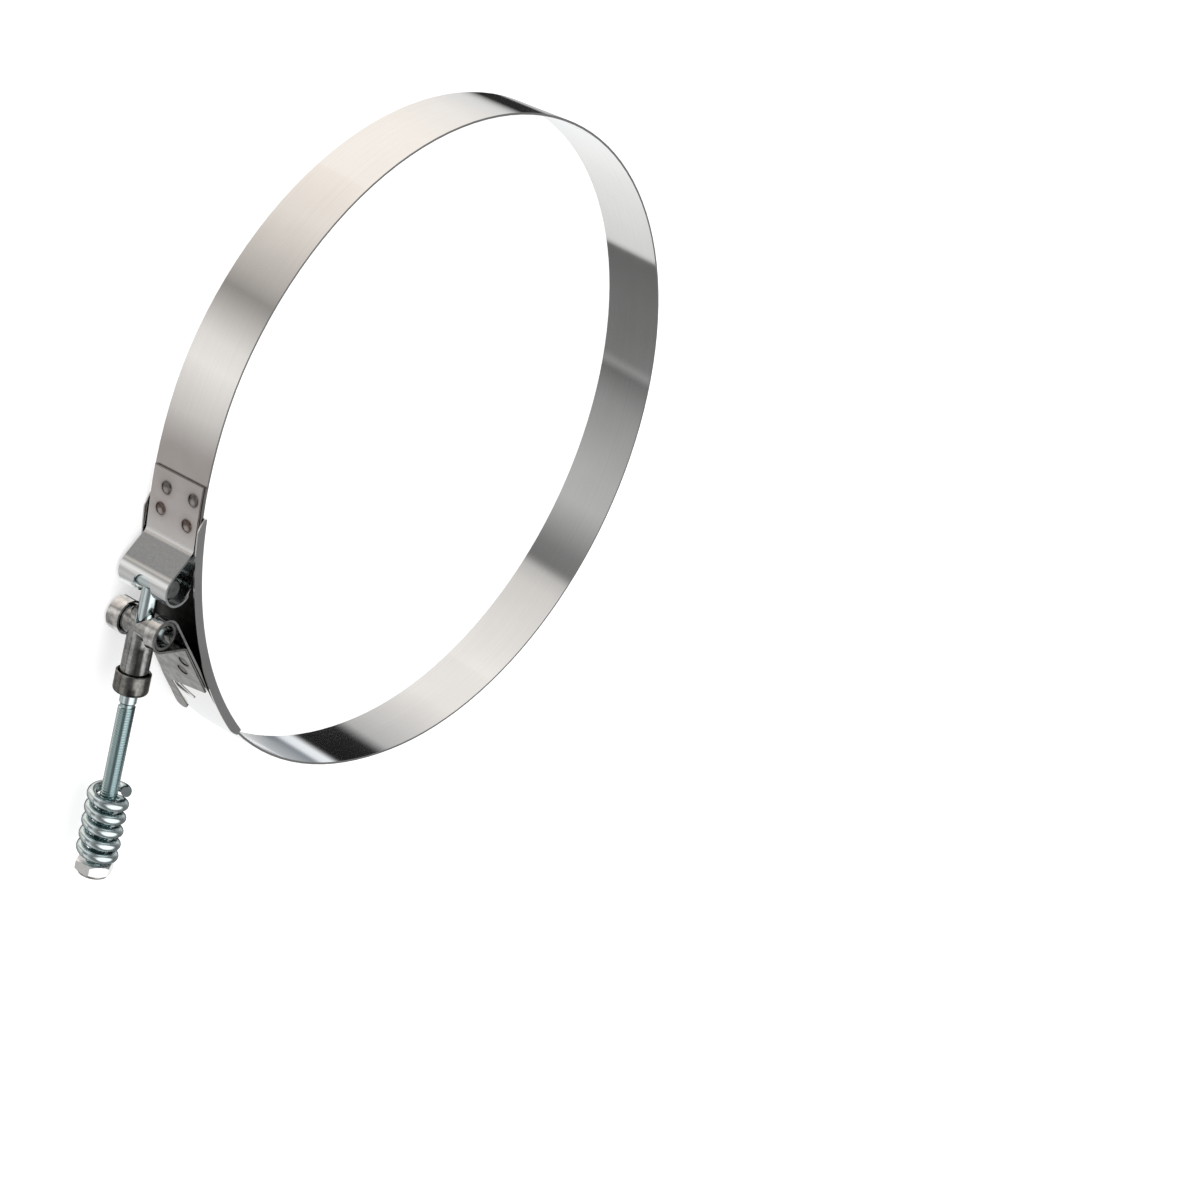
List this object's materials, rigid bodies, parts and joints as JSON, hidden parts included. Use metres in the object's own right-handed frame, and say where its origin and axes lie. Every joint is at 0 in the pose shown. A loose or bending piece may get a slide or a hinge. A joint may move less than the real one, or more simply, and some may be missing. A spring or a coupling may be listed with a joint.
{
  "type": "t bolt clamp",
  "caption": "Spring-loaded T-bolt hose clamp: a folded steel band with a bridge under its gap, closed by a T-bolt through a trunnion, with a coil spring and lock nut.",
  "frame": {"origin": "centre of the band on the plane that the clamp rests on", "axes": "+Z along the band's axis, +X along the bolt towards the nut; the closure is on the -Y side"},
  "size_m": [0.22, 0.2073, 0.0205],
  "materials": {
    "band_steel": "satin cold-rolled stainless strip",
    "bridge_steel": "satin stainless strip",
    "bolt_zinc": "bright bluish zinc plate",
    "trunnion_steel": "dark satin steel",
    "collar_steel": "dark satin steel",
    "spring_zinc": "bright zinc-plated spring wire",
    "nut_zinc": "bright zinc plate"
  },
  "bodies": {
    "clamp": {"band": "band_steel", "bridge": "bridge_steel", "t_bolt": "bolt_zinc", "trunnion": "trunnion_steel", "trunnion_collar": "collar_steel"},
    "spring_carriage": {"spring": "spring_zinc"},
    "nut": {"lock_nut": "nut_zinc"}
  },
  "joints": [
    {"name": "nut_travel", "type": "slide", "parent": "clamp", "child": "spring_carriage", "axis": [-1, 0, 0], "range_m": [0, 0.027]},
    {"name": "nut_spin", "type": "hinge", "parent": "spring_carriage", "child": "nut", "pos_m": [0.1154, -0.1017, 0.01027], "axis": [-1, 0, 0], "range_deg": [0, 12250]}
  ],
  "couplings": [
    {"joint": "nut_spin", "follows": "nut_travel", "rad_per_m": 7915.8}
  ]
}
